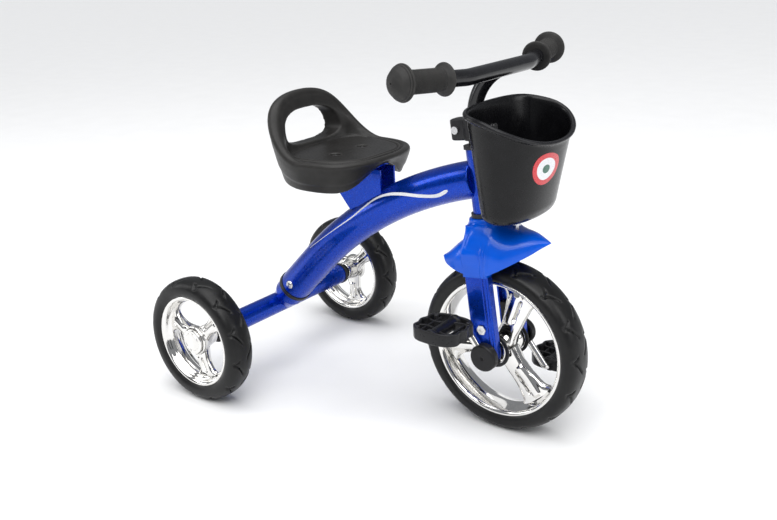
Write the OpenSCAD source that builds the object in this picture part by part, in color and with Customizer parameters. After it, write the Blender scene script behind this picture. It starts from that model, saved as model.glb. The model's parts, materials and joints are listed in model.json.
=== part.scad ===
// Children's tricycle: an arched steel frame on two rear wheels and a pedalled front wheel.
// +X points forward, +Y to the rider's left, +Z up. The origin is on the ground, under the
// middle of the length from the rear tyres to the front tyre. Sizes are in millimetres.

/* [Wheels] */
// Distance from the rear axle forward to the front axle
wheelbase = 446; // [430:1:460]
// Distance between the middles of the two rear tyres
track = 372; // [364:1:380]
// Radius of the front tyre
front_r = 127; // [125:0.5:128]
// Width of the front tyre
front_w = 54; // [50:1:56]
// Radius of the front rim's edge
front_rim_r = 101; // [98:0.5:103]
// Radius of the rear tyres
rear_r = 100; // [98:0.5:102]
// Width of each rear tyre
rear_w = 46; // [44:1:48]
// Radius of the rear rims' edges
rear_rim_r = 72; // [70:0.5:74]

/* [Frame] */
// Outer radius of the arched main tube
tube_r = 27.5; // [26:0.5:29]
// Wall thickness of the frame's tubes
tube_t = 2; // [1.5:0.5:2.5]
// Slope of the main tube at its rear end, in degrees
rear_slope = 45; // [44:1:46]
// Slope of the main tube at the head tube, in degrees
head_slope = 13.7; // [13.5:0.1:14.5]
// Radius of the main tube's arch, along its middle
arch_r = 660; // [650:5:670]
// Length from the rear axle along the main tube to the start of the arch
straight_l = 135; // [130:1:140]
// Outer radius of the cross tube between the rear wheels
cross_r = 17.5; // [17:0.5:18]
// Half of the cross tube's length
cross_half = 150; // [146:1:152]

/* [Steering] */
// Lean of the steering axis from upright, in degrees
rake = 7; // [6:0.5:8]
// Distance from the steering axis forward to the front axle
fork_offset = 4; // [2:1:6]
// Outer radius of the head tube
head_r = 18; // [17:0.5:19]
// Outer radius of the steerer that turns in the head tube
steerer_r = 12.5; // [12:0.5:13]
// Outer radius of the handlebar
bar_r = 11; // [10.5:0.5:11.5]
// Backward sweep of the handlebar's ends, in degrees
sweep = 13.5; // [10:0.5:16]
// Half of the distance between the fork legs' outer faces
leg_y = 46; // [45:0.5:47]
// Width of each fork leg, front to back
leg_w = 38; // [36:1:40]

/* [Pedals] */
// Distance from the front axle to each pedal's axle
crank_l = 63; // [58:1:66]
// Direction of the right crank, in degrees up from straight ahead
crank_dir = 128; // [120:1:140]
// Radius of the crank rod
rod_r = 5; // [4.5:0.25:5]
// Length of a pedal, front to back
pedal_l = 78; // [70:1:82]
// Width of a pedal along its axle
pedal_w = 70; // [66:1:72]

/* [Seat and basket] */
// Height of the flat of the seat above the ground
seat_z = 386; // [384:1:390]
// Distance of the two seat bolts from the middle
seat_bolt_y = 32; // [30:1:33]
// Half of the basket's width at its rim
basket_half = 92; // [88:1:94]
// Height of the basket's floor above the ground
basket_z = 328; // [326:1:332]

/* [Hidden] */
$fn = 64;

blue = [0.03, 0.16, 0.62];
light_blue = [0.02, 0.28, 0.85];
black = [0.05, 0.05, 0.055];
rubber = [0.09, 0.085, 0.08];
chrome = [0.82, 0.83, 0.84];
steel = [0.6, 0.6, 0.62];

run = 0.06;                       // gap of a running fit, on the radius
fit = 0.05;                       // gap of a fixed fit, on the radius
origin_x = (wheelbase + front_r - rear_r) / 2;
steer_x = wheelbase - fork_offset;

// The main tube's middle line in the XZ plane: a straight, then an arch up to the head tube
arch_start = [0, rear_r] + straight_l * [cos(rear_slope), sin(rear_slope)];
arch_mid = arch_start + arch_r * [sin(rear_slope), -cos(rear_slope)];
arch_end = arch_mid + arch_r * [-sin(head_slope), cos(head_slope)];
tube_start = 50.5;                // where the main tube begins, from the rear axle
collar_start = 44;
stub_r = tube_r - tube_t - fit;
stub_end = 120;
socket_end = 26;                  // where the flare from the cross tube to the stub ends
bolt_at = 66;

// Stations along the steering axis, up from the front axle's level
crown_s = 137;
lower_cup = 192.5;
head_low = 198;
head_high = 290;
upper_cup = 295;
steerer_top = 328;
basket_gap = 22.5;                // from the steering axis forward to the basket
screw_from = 14.5;
clamp_low = 302;
clamp_high = 333;
stem_bend_s = 326;
bar_x = 49;
bar_s = 396;

// Stations across the tricycle, out from its middle
hub_half = 27;
leg_inner = leg_y - 13;
arm_y = leg_y + 8;
cap_inner = leg_y + 2.5;
cap_outer = leg_y + 15.5;
pedal_inner = leg_y + 17;
pedal_outer = pedal_inner + pedal_w;
pedal_wall = 4;
pedal_h = 18;
rod_end = pedal_outer - 5;
wheel_y = track / 2;
plug_end = wheel_y - 22.5;
hub_inner = wheel_y - 22;
hub_outer = wheel_y + 14;
bracket_z = 366;
plate_t = 3;
pan_z = bracket_z + plate_t;

module placed() translate([-origin_x, 0, 0]) children();
module on_rear_axle() placed() translate([0, 0, rear_r]) children();
module on_front_axle() placed() translate([wheelbase, 0, front_r]) children();
module on_steering() placed() translate([steer_x, 0, front_r]) rotate([0, -rake, 0]) children();
// Along the main tube's rear straight, up from the rear axle
module on_slope(t) on_rear_axle() rotate([0, 90 - rear_slope, 0]) translate([0, 0, t]) children();

// Makes the left-hand shape, or its mirror image on the right
module on_side(right) {
    if (right) mirror([0, 1, 0]) children();
    else children();
}

module rod_y(r, from, to) translate([0, from, 0]) rotate([-90, 0, 0]) cylinder(h = to - from, r = r);

module ring(outer, inner, h) {
    difference() {
        cylinder(h = h, r = outer);
        translate([0, 0, -1]) cylinder(h = h + 2, r = inner);
    }
}

module ring_y(outer, inner, from, to) {
    difference() {
        rod_y(outer, from, to);
        rod_y(inner, from - 1, to + 1);
    }
}

module hex_y(across, hole, from, to) {
    difference() {
        translate([0, from, 0]) rotate([-90, 0, 0]) cylinder(h = to - from, d = across / cos(30), $fn = 6);
        rod_y(hole, from - 1, to + 1);
    }
}

// A closed solid through equal loops of points. A flat cap closes each end, or, where each loop
// runs out and back round a curved wall, a row of small faces across that wall does.
module skin(loops, wall = false) {
    n = len(loops[0]);
    last = (len(loops) - 1) * n;
    sides = [for (i = [0:len(loops) - 2], j = [0:n - 1])
        [i * n + j, i * n + (j + 1) % n, (i + 1) * n + (j + 1) % n, (i + 1) * n + j]];
    cap = wall ? [for (j = [0:n / 2 - 2]) [j, j + 1, n - 2 - j, n - 1 - j]] : [[for (j = [0:n - 1]) j]];
    first_cap = [for (face = cap) [for (k = [len(face) - 1:-1:0]) face[k]]];
    last_cap = [for (face = cap) [for (k = face) last + k]];
    polyhedron([for (loop = loops) each loop], concat(sides, first_cap, last_cap), convexity = 6);
}

// ---- Frame ----

module arch(outer, inner) {
    translate([arch_mid.x, 0, arch_mid.y]) rotate([90, 0, 0]) rotate([0, 0, 90 + head_slope])
        rotate_extrude(angle = rear_slope - head_slope, $fn = 128)
            translate([arch_r, 0]) difference() {
                circle(outer);
                if (inner > 0) circle(inner);
            }
}

module main_tube() {
    color(blue) {
        on_slope(0) difference() {
            translate([0, 0, tube_start]) ring(tube_r, tube_r - tube_t, straight_l - tube_start);
            translate([0, 0, bolt_at]) rod_y(3 + fit, -tube_r - 5, tube_r + 5);
        }
        difference() {
            placed() arch(tube_r, tube_r - tube_t);
            on_steering() translate([0, 0, head_low - 20])
                cylinder(h = head_high - head_low + 40, r = head_r);
        }
    }
}

module head_tube() {
    color(blue) on_steering() translate([0, 0, head_low])
        ring(head_r, head_r - 2.5, head_high - head_low);
}

// Side cheeks that follow the tube's slope, under a flat plate for the seat
module seat_bracket() {
    cheek = [[136, bracket_z], [136, bracket_z - 14], [182, 296], [244, 326], [244, bracket_z]];
    color(blue) difference() {
        placed() union() {
            for (y = [-17, 17])
                translate([0, y + 1.5, 0]) rotate([90, 0, 0]) linear_extrude(3) polygon(cheek);
            translate([134, -42, bracket_z]) cube([96, 84, plate_t]);
        }
        placed() arch(tube_r, 0);
        placed() for (y = [-1, 1])
            translate([170, y * seat_bolt_y, bracket_z - 1]) cylinder(h = 8, r = 3.2);
    }
}

// The cross tube with the stub that slides into the main tube
module rear_cross_tube() {
    color(blue) difference() {
        union() {
            on_rear_axle() rod_y(cross_r, -cross_half, cross_half);
            on_slope(0) cylinder(h = socket_end, r1 = cross_r - 1, r2 = stub_r);
            on_slope(socket_end) cylinder(h = stub_end - socket_end, r = stub_r);
        }
        on_rear_axle() rod_y(cross_r - tube_t, -cross_half - 1, cross_half + 1);
        on_slope(socket_end + 2) cylinder(h = stub_end, r = stub_r - tube_t);
        on_slope(bolt_at) rod_y(3 + fit, -tube_r - 5, tube_r + 5);
    }
}

module joint_collar() {
    color(black) on_slope(collar_start) ring(tube_r + 1.2, stub_r + fit, tube_start - collar_start);
}

module frame_bolt() {
    color(steel) on_slope(bolt_at) {
        rod_y(3, -tube_r, tube_r + 7);
        translate([0, -tube_r, 0]) intersection() {
            translate([0, 4.5, 0]) sphere(r = 8.5);
            rod_y(7, -5, 0);
        }
    }
}

module frame_bolt_nut() {
    color(steel) on_slope(bolt_at) hex_y(10, 3 + fit, tube_r, tube_r + 5.5);
}

// A flanged bearing cup: a flange outside the head tube and a sleeve inside it
module cup(flange_r, flange_h, sleeve_l) {
    difference() {
        union() {
            cylinder(h = flange_h, r = flange_r);
            translate([0, 0, flange_h - 1]) cylinder(h = sleeve_l + 1, r = head_r - 2.5 - fit);
        }
        translate([0, 0, -1]) cylinder(h = flange_h + sleeve_l + 2, r = steerer_r + run);
    }
}

module headset_upper() {
    color(black) on_steering() translate([0, 0, upper_cup]) mirror([0, 0, 1])
        cup(head_r + 2.5, upper_cup - head_high, 16);
}

module headset_lower() {
    color(black) on_steering() translate([0, 0, lower_cup])
        cup(head_r + 3, head_low - lower_cup, 16);
}

module rear_axle() {
    color(steel) on_rear_axle() rod_y(5, -hub_outer + 4, hub_outer - 4);
}

// Closes the cross tube's end, holds the axle and spaces the wheel off
module tube_plug(right) {
    color(black) on_rear_axle() on_side(right) difference() {
        union() {
            rod_y(cross_r - tube_t - fit, cross_half - 22, cross_half);
            rod_y(cross_r + 1.2, cross_half, cross_half + 6);
            rod_y(9.5, cross_half + 5, plug_end);
        }
        rod_y(5 + fit, cross_half - 25, plug_end + 1);
    }
}
module tube_plug_right() tube_plug(true);
module tube_plug_left() tube_plug(false);

module axle_nuts() {
    color(steel) on_rear_axle() for (right = [true, false])
        on_side(right) hex_y(13, 5 + fit, hub_outer - 10, hub_outer - 5);
}

// ---- Seat ----

skirt_z = 346;
loop_middle = [128, 0, seat_z];
loop_big_r = 92;
loop_r = 11;
loop_lean = 36;

// A hull of discs: x, y and radius of each
module pan(z0, z1, inset) {
    discs = [[222, 0, 36], [206, 58, 38], [168, 63, 42], [124, 60, 42], [206, -58, 38],
        [168, -63, 42], [124, -60, 42]];
    hull() for (d = discs)
        translate([d.x, d.y, z0]) cylinder(h = z1 - z0, r = d.z - inset, $fn = 32);
}

// The half ring behind the seat, leaning back and cut flat where it meets the pan
module handle_loop() {
    difference() {
        translate(loop_middle) rotate([90 - loop_lean, 0, 90]) rotate([0, 0, -10])
            rotate_extrude(angle = 200) translate([loop_big_r, 0]) circle(loop_r);
        translate([0, -150, seat_z - 100]) cube([300, 300, 100]);
    }
}

// Moulded pan with a skirt, two bosses for its bolts and a loop handle behind
module seat() {
    color(rubber) placed() difference() {
        union() {
            difference() {
                pan(skirt_z, seat_z, 0);
                pan(skirt_z - 10, seat_z - 5, 5);
            }
            handle_loop();
            for (y = [-1, 1])
                translate([170, y * seat_bolt_y, pan_z]) cylinder(h = seat_z - pan_z - 1, r = 13);
        }
        arch(tube_r + 1.5, 0);
        for (y = [-1, 1]) translate([170, y * seat_bolt_y, 0]) {
            translate([0, 0, pan_z - 1]) cylinder(h = 40, r = 3.2);
            translate([0, 0, seat_z - 7]) cylinder(h = 20, r = 8);
        }
    }
}

module seat_bolts() {
    color(steel) placed() for (y = [-1, 1]) translate([170, y * seat_bolt_y, 0]) {
        translate([0, 0, bracket_z - 7]) cylinder(h = seat_z - bracket_z, r = 3);
        translate([0, 0, seat_z - 7]) cylinder(h = 4, r = 6.5);
    }
}

module seat_nuts() {
    color(steel) placed() for (y = [-1, 1])
        translate([170, y * seat_bolt_y, bracket_z - 5]) difference() {
            cylinder(h = 5, d = 10 / cos(30), $fn = 6);
            translate([0, 0, -1]) cylinder(h = 7, r = 3 + fit);
        }
}

// ---- Steering ----

module steerer() {
    top = crown_s + leg_y - 3;
    color(black) on_steering() translate([0, 0, top]) difference() {
        cylinder(h = steerer_top - top, r = steerer_r);
        translate([0, 0, 4]) cylinder(h = steerer_top - top, r = bar_r - 1.5 + fit);
        translate([0, 0, stem_bend_s - top - 4]) cylinder(h = 40, r = bar_r);
    }
}

// An arch from leg to leg, with the steerer standing on it
module fork_crown() {
    color(blue) on_steering() difference() {
        translate([-16, 0, crown_s]) rotate([0, 90, 0]) intersection() {
            ring(leg_y, leg_y - 4, 32);
            translate([-leg_y - 1, -leg_y - 1, -1]) cube([leg_y + 1, 2 * leg_y + 2, 34]);
        }
        translate([0, 0, crown_s + leg_y - 3]) cylinder(h = 10, r = steerer_r);
    }
}

// A pressed channel, open inwards, with a rib down its front edge
leg_t = 2.5;
leg_foot_s = -18;
leg_bolt_s = 37;
module fork_leg(right) {
    half = leg_w / 2;
    color(blue) on_side(right) difference() {
        on_steering() {
            translate([-half, leg_inner, leg_foot_s])
                cube([leg_w, leg_y - leg_inner, crown_s - leg_foot_s]);
            translate([half - 8, leg_y - 1, 24]) cube([5, 3, 90]);
        }
        on_steering() {
            translate([leg_t - half, leg_inner - 5, leg_foot_s + leg_t])
                cube([leg_w - 2 * leg_t, leg_y - leg_inner + 5 - leg_t, crown_s - leg_foot_s]);
            translate([0, 0, leg_bolt_s]) rod_y(4 + fit, leg_inner, leg_y + 5);
        }
        on_front_axle() rod_y(14, leg_inner, leg_y + 5);
    }
}
module fork_leg_right() fork_leg(true);
module fork_leg_left() fork_leg(false);

// The plastic block in a leg's lower end that the crank turns in
module fork_bearing(right) {
    half = leg_w / 2 - leg_t - 0.2;
    low = leg_foot_s + leg_t + 0.2;
    color(black) on_side(right) difference() {
        union() {
            on_steering() translate([-half, leg_inner - 0.5, low])
                cube([2 * half, leg_y - leg_t - fit - leg_inner + 0.5, 50 - low]);
            on_front_axle() rod_y(14 - fit, leg_inner + 2, leg_y + 1);
        }
        on_front_axle() rod_y(rod_r + run, 0, leg_y + 9);
        on_steering() translate([0, 0, leg_bolt_s]) rod_y(4 + fit, 0, leg_y + 9);
    }
}
module fork_bearing_right() fork_bearing(true);
module fork_bearing_left() fork_bearing(false);

module bearing_bolts() {
    color(steel) on_steering() translate([0, 0, leg_bolt_s]) for (right = [true, false])
        on_side(right) {
            rod_y(4, leg_inner - 5, leg_y + 1);
            hex_y(13, 3, leg_y, leg_y + 2.5);
        }
}

module bearing_nuts() {
    color(steel) on_steering() translate([0, 0, leg_bolt_s]) for (right = [true, false])
        on_side(right) hex_y(13, 4 + fit, leg_inner - 4.5, leg_inner - 0.5);
}

// The fender's outline along x: its ridge, its lower edge and its half-width
fender_back = 362;
fender_mid = 424;
fender_front = 522;
function fender_way(x) = x < fender_mid ? (fender_mid - x) / (fender_mid - fender_back)
    : (x - fender_mid) / (fender_front - fender_mid);
function fender_top(x) = 315 - (x < fender_mid ? 42 * pow(fender_way(x), 2.2) : 22 * pow(fender_way(x), 2));
function fender_edge(x) = 242 + (x < fender_mid ? 10 * pow(fender_way(x), 4)
    : 48 * pow(max(0, fender_way(x) - 0.15) / 0.85, 1.15));
function fender_half(x) = x < fender_mid ? leg_y + 6 - 17 * pow(fender_way(x), 2.5)
    : 8 + (leg_y - 2) * pow(1 - pow(fender_way(x), 2.2), 0.75);
// Half a turn across the fender at x, inset from its outer face
fender_steps = 12;
function fender_arch(x, inset) = [for (j = [0:fender_steps])
    let (turn = 180 * j / fender_steps, low = fender_edge(x), rise = fender_top(x) - inset - low)
    [x, (fender_half(x) - inset) * bulge(cos(turn), 0.8), low + rise * bulge(sin(turn), 0.8)]];

module fender() {
    wall = 2.5;
    steps = 20;
    ends = [fender_back, fender_front - 1];
    loops = [for (i = [0:steps])
        let (x = ends[0] + i * (ends[1] - ends[0]) / steps, inside = fender_arch(x, wall))
        concat(fender_arch(x, 0), [for (j = [fender_steps:-1:0]) inside[j]])];
    color(light_blue) difference() {
        placed() skin(loops, wall = true);
        on_steering() translate([0, 0, crown_s]) cylinder(h = 80, r = steerer_r + 0.3);
        placed() translate([468, 0, 285]) cylinder(h = 45, r = 3);
    }
}

module fender_bolt() {
    top = fender_top(468);
    color(steel) placed() translate([468, 0, top - 10]) {
        cylinder(h = 11.4, r = 2.8);
        translate([0, 0, 11.4]) cylinder(h = 4.5, d = 11 / cos(30), $fn = 6);
        cylinder(h = 4, d = 10 / cos(30), $fn = 6);
    }
}

// A split clamp round the steerer, with a tongue in front that carries the basket
module stem_clamp() {
    h = clamp_high - clamp_low;
    color(black) on_steering() translate([0, 0, clamp_low]) difference() {
        union() {
            cylinder(h = h, r = 18);
            translate([-36, -12, 0]) cube([30, 24, h]);
            translate([6, -14, 3]) cube([basket_gap - 6.1, 28, h - 6]);
        }
        translate([0, 0, -1]) cylinder(h = h + 2, r = steerer_r + fit);
        translate([-40, -1.2, -1]) cube([32, 2.4, h + 2]);
        translate([-26, 0, h / 2]) rod_y(3 + fit, -20, 20);
        for (y = [-8, 8]) translate([screw_from, y, h / 2]) rotate([0, 90, 0]) cylinder(h = 30, r = 2);
    }
}

module clamp_bolt() {
    color(steel) on_steering() translate([-26, 0, (clamp_low + clamp_high) / 2]) {
        rod_y(3, -12.5, 17);
        rod_y(5.5, -16, -12);
    }
}

module clamp_nut() {
    color(steel) on_steering() translate([-26, 0, (clamp_low + clamp_high) / 2])
        hex_y(10, 3 + fit, 12, 16.5);
}

// The stem's bend leads its middle line from the steering axis to the handlebar. Above the
// clamp the stem is wider than the part that slides into the steerer.
stem_turn = 2 * atan(bar_x / (bar_s - stem_bend_s));
stem_bend_r = bar_x / (1 - cos(stem_turn));
thin_turn = 9;
stem_r = bar_r - 1.5;

module stem_bend(from, to, r) {
    translate([stem_bend_r, 0, stem_bend_s]) rotate([90, 0, 0]) rotate([0, 0, 180 - to])
        rotate_extrude(angle = to - from) translate([stem_bend_r, 0]) circle(r);
}

module stem() {
    color(black) on_steering() {
        translate([0, 0, head_high - 10]) cylinder(h = stem_bend_s - head_high + 10, r = stem_r);
        stem_bend(0, thin_turn + 2, stem_r);
        difference() {
            stem_bend(thin_turn, stem_turn, stem_r + 1.2);
            translate([bar_x, 0, bar_s]) rod_y(bar_r, -30, 30);
        }
    }
}

bar_half = 70;
bar_bend_r = 70;
bar_l = 108;
sweep_tilt = 15;
// At the start of the handlebar's left end straight, along which +Z then runs
module on_bar_end() {
    on_steering() translate([bar_x, 0, bar_s]) rotate([0, rake + sweep_tilt, 0])
        translate([-bar_bend_r * (1 - cos(sweep)), bar_half + bar_bend_r * sin(sweep), 0])
            rotate([0, 0, sweep]) rotate([-90, 0, 0]) children();
}

module handlebar() {
    color(black) union() {
        on_steering() translate([bar_x, 0, bar_s]) rod_y(bar_r, -bar_half, bar_half);
        for (right = [true, false]) on_side(right) {
            on_steering() translate([bar_x, 0, bar_s]) rotate([0, rake + sweep_tilt, 0])
                translate([-bar_bend_r, bar_half, 0])
                    rotate_extrude(angle = sweep) translate([bar_bend_r, 0]) circle(bar_r);
            on_bar_end() cylinder(h = bar_l, r = bar_r);
        }
    }
}

// Rubber grip with a flange at each end and a domed tip
module grip(right) {
    profile = [[bar_r + fit, 32], [20.5, 32], [21.5, 34], [20, 37], [15.5, 40], [14.8, 70],
        [15.5, 96], [22, 98], [24, 101], [24, 104], [20.5, 106], [19, 110], [15, 115], [8, 119],
        [0, 120], [0, bar_l + 1], [bar_r + fit, bar_l + 1]];
    color(rubber) on_side(right) on_bar_end() rotate_extrude() polygon(profile);
}
module grip_right() grip(true);
module grip_left() grip(false);

// The basket's outline: flatter behind, where it lies along the steering axis. Up is 0 at its
// floor and 1 at its rim, turn is 0 in front, and grow widens it all round.
rim_back_z = 482;
function rim_z(turn) = rim_back_z - 21 - 21 * cos(turn) + 11 * pow(sin(turn), 2);
function bulge(v, power) = sign(v) * pow(abs(v), power);
function basket_point(up, turn, grow) =
    let (back = steer_x + basket_gap / cos(rake) - (basket_z - front_r) * tan(rake)
            - up * (rim_back_z - basket_z) * tan(rake),
        half_x = 34 + 22 * up,
        half_y = basket_half - 20 + 20 * up,
        level = up < 0.1 ? 150 * up : (rim_z(turn) - basket_z) * up)
    [back + half_x + (half_x + grow) * bulge(cos(turn), abs(turn - 180) < 90 ? 0.62 : 0.95),
        (half_y + grow) * bulge(sin(turn), 0.92), basket_z + level];
basket_wall = 2.5;

module basket() {
    outside = [[0, -9], [0.025, -3], [0.07, 0], [0.94, 0], [0.95, 3.5], [0.98, 4], [1, 2]];
    inside = [[1, -1], [0.97, -basket_wall], [0.1, -basket_wall], [0.05, -5], [0.02, -11]];
    loops = [for (p = concat(outside, inside))
        [for (turn = [0:7.5:359]) basket_point(p.x, turn, p.y)]];
    color(black) difference() {
        placed() skin(loops);
        on_steering() translate([0, 0, (clamp_low + clamp_high) / 2])
            for (y = [-8, 8]) translate([screw_from, y, 0]) rotate([0, 90, 0]) cylinder(h = 40, r = 2.2);
    }
}

module basket_screws() {
    color(steel) on_steering() translate([0, 0, (clamp_low + clamp_high) / 2])
        for (y = [-8, 8]) translate([screw_from + 1, y, 0]) rotate([0, 90, 0]) {
            cylinder(h = basket_gap + basket_wall - screw_from, r = 1.95);
            translate([0, 0, basket_gap + basket_wall - screw_from - 0.4]) cylinder(h = 2.5, r = 4.5);
        }
}

// ---- Wheels ----

// A tyre: r and w are its outer radius and width, seat its radius on the rim
module tyre(r, w, seat, seat_w) {
    depth = (r - seat) * 0.66;
    crown = [for (i = [0:16])
        let (a = -90 + i * 180 / 16)
        [r - depth + depth * pow(cos(a), 0.7), w / 2 * sign(sin(a)) * pow(abs(sin(a)), 0.85)]];
    color(black) rotate([-90, 0, 0]) rotate_extrude($fn = 128)
        polygon(concat([[seat, -seat_w / 2]], crown, [[seat, seat_w / 2]]));
}

// A rim: a barrel that the tyre sits on, a hub and three wide spokes, the first one turned up
// by an angle from straight ahead
module rim(r, w, wall, hub_r, hub_from, hub_to, bore, spoke_hub, spoke_rim, spoke_t, first) {
    inner = r - wall;
    difference() {
        union() {
            ring_y(r, inner, -w / 2, w / 2);
            ring_y(inner + 0.5, inner - 5, -3, 3);
            rod_y(hub_r, hub_from, hub_to);
            for (k = [0:2]) rotate([0, 120 * k - first, 0])
                translate([0, spoke_t / 2, 0]) rotate([90, 0, 0]) linear_extrude(spoke_t)
                    polygon([[0, -spoke_hub], [inner + 0.5, -spoke_rim], [inner + 0.5, spoke_rim],
                        [0, spoke_hub]]);
        }
        rod_y(bore, hub_from - 1, hub_to + 1);
    }
}

module front_rim() {
    color(chrome) on_front_axle() difference() {
        rim(front_rim_r, front_w - 10, 8, 22, -hub_half, hub_half, rod_r + fit, 14, 30, 14, 70);
        translate([0, 0, -18]) cylinder(h = 36, r = 2);
    }
}

module front_tyre() on_front_axle() tyre(front_r, front_w, front_rim_r, front_w - 10);

module hub_ring(right) {
    color(black) on_front_axle() on_side(right)
        ring_y(25, rod_r + fit, hub_half, hub_half + 2.5);
}
module hub_ring_right() hub_ring(true);
module hub_ring_left() hub_ring(false);

// One bent rod: the wheel's axle, an arm on each side and a pedal axle on each arm
module crank_rod(r, outer) {
    rod_y(r, -arm_y, arm_y);
    for (side = [-1, 1]) {
        turn = side < 0 ? crank_dir : crank_dir + 180;
        tip = crank_l * [cos(turn), sin(turn)];
        translate([0, side * arm_y, 0]) {
            sphere(r = r);
            rotate([0, 90 - turn, 0]) cylinder(h = crank_l, r = r);
        }
        translate([tip.x, side * arm_y, tip.y]) sphere(r = r);
        translate([tip.x, 0, tip.y]) rod_y(r, side < 0 ? -outer : arm_y, side < 0 ? -arm_y : outer);
    }
}

module crank() {
    color(chrome) on_front_axle() difference() {
        crank_rod(rod_r, rod_end);
        translate([0, 0, -18]) cylinder(h = 36, r = 2);
    }
}

// A cup over the crank's elbow, slotted for the arm
module crank_cap(right) {
    turn = right ? crank_dir : crank_dir + 180;
    slot = rod_r + fit;
    color(black) on_front_axle() on_side(right) difference() {
        union() {
            rod_y(20, cap_inner, cap_outer - 3);
            translate([0, cap_outer - 3, 0]) rotate([-90, 0, 0]) cylinder(h = 3, r1 = 20, r2 = 17.5);
        }
        rod_y(17, cap_inner - 1, arm_y + slot);
        rotate([0, 90 - turn, 0]) translate([-slot, cap_inner - 1, 0]) cube([2 * slot, arm_y + slot - cap_inner + 1, 30]);
        rod_y(2, cap_outer - 1.5, cap_outer + 1);
    }
}
module crank_cap_right() crank_cap(true);
module crank_cap_left() crank_cap(false);

module drive_pin() {
    color(steel) on_front_axle() translate([0, 0, -17]) cylinder(h = 34, r = 2 - fit);
}

// At a pedal's own axle; the left one is mirrored across the tricycle
module on_pedal(right) {
    turn = right ? crank_dir : crank_dir + 180;
    on_front_axle() translate([crank_l * cos(turn), 0, crank_l * sin(turn)]) on_side(right) children();
}

module pedal_push_nuts() {
    color(steel) for (right = [true, false]) on_pedal(right)
        ring_y(7.5, rod_r + fit, rod_end - 4, rod_end - 1.5);
}

module plate(l, w, r) {
    square([l - 2 * r, w], center = true);
    square([l, w - 2 * r], center = true);
    for (x = [-1, 1], y = [-1, 1]) translate([x * (l / 2 - r), y * (w / 2 - r)]) circle(r);
}

// An open frame with two cross ribs round a barrel that turns on the crank
module pedal(right) {
    middle = (pedal_inner + pedal_outer) / 2;
    color(black) on_pedal(right) difference() {
        union() {
            translate([0, middle, -pedal_h / 2]) linear_extrude(pedal_h) difference() {
                plate(pedal_l, pedal_w, 20);
                plate(pedal_l - 2 * pedal_wall, pedal_w - 2 * pedal_wall, 16);
            }
            rod_y(9.5, pedal_inner + 1, pedal_outer - 1);
            for (side = [-1, 1]) translate([-pedal_l / 2 + 2, middle + side * 14 - 1.5, -7])
                cube([pedal_l - 4, 3, 14]);
        }
        rod_y(rod_r + run, pedal_inner - 2, rod_end + 0.8);
        rod_y(8, rod_end - 5, rod_end + 1);
    }
}
module pedal_right() pedal(true);
module pedal_left() pedal(false);

module rear_rim(right) {
    color(chrome) on_rear_axle() on_side(right) translate([0, wheel_y, 0]) difference() {
        rim(rear_rim_r, rear_w - 6, 7, 23, -22, 14, 8 + fit, 14, 22, 12, 40);
        rod_y(13, 3, 15);
    }
}
module rear_rim_right() rear_rim(true);
module rear_rim_left() rear_rim(false);

module rear_tyre(right) {
    on_rear_axle() on_side(right) translate([0, wheel_y, 0])
        tyre(rear_r, rear_w, rear_rim_r, rear_w - 6);
}
module rear_tyre_right() rear_tyre(true);
module rear_tyre_left() rear_tyre(false);

module rear_bush(right) {
    color(black) on_rear_axle() on_side(right) ring_y(8, 5 + run, hub_inner, hub_outer - 11);
}
module rear_bush_right() rear_bush(true);
module rear_bush_left() rear_bush(false);

// A shallow domed disc over the hub's open end
module hub_cap(right) {
    color(chrome) on_rear_axle() on_side(right) translate([0, hub_outer, 0]) difference() {
        union() {
            rod_y(20.5, 0, 4);
            translate([0, 4, 0]) rotate([-90, 0, 0]) cylinder(h = 2, r1 = 20.5, r2 = 17);
        }
        translate([0, 5, 0]) ring_y(12.5, 11, 0, 2);
    }
}
module hub_cap_right() hub_cap(true);
module hub_cap_left() hub_cap(false);

main_tube();
head_tube();
seat_bracket();
rear_cross_tube();
joint_collar();
frame_bolt();
frame_bolt_nut();
headset_upper();
headset_lower();
rear_axle();
tube_plug_right();
tube_plug_left();
axle_nuts();
seat();
seat_bolts();
seat_nuts();
steerer();
fork_crown();
fork_leg_right();
fork_leg_left();
fork_bearing_right();
fork_bearing_left();
bearing_bolts();
bearing_nuts();
fender();
fender_bolt();
stem_clamp();
clamp_bolt();
clamp_nut();
stem();
handlebar();
grip_right();
grip_left();
basket();
basket_screws();
front_rim();
front_tyre();
hub_ring_right();
hub_ring_left();
crank();
crank_cap_right();
crank_cap_left();
drive_pin();
pedal_push_nuts();
pedal_right();
pedal_left();
rear_rim_right();
rear_tyre_right();
rear_bush_right();
hub_cap_right();
rear_rim_left();
rear_tyre_left();
rear_bush_left();
hub_cap_left();
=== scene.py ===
"""A children's tricycle: detailed pieces, materials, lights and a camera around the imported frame."""
import json
import math

import bmesh
import bpy
from mathutils import Matrix, Vector


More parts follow.
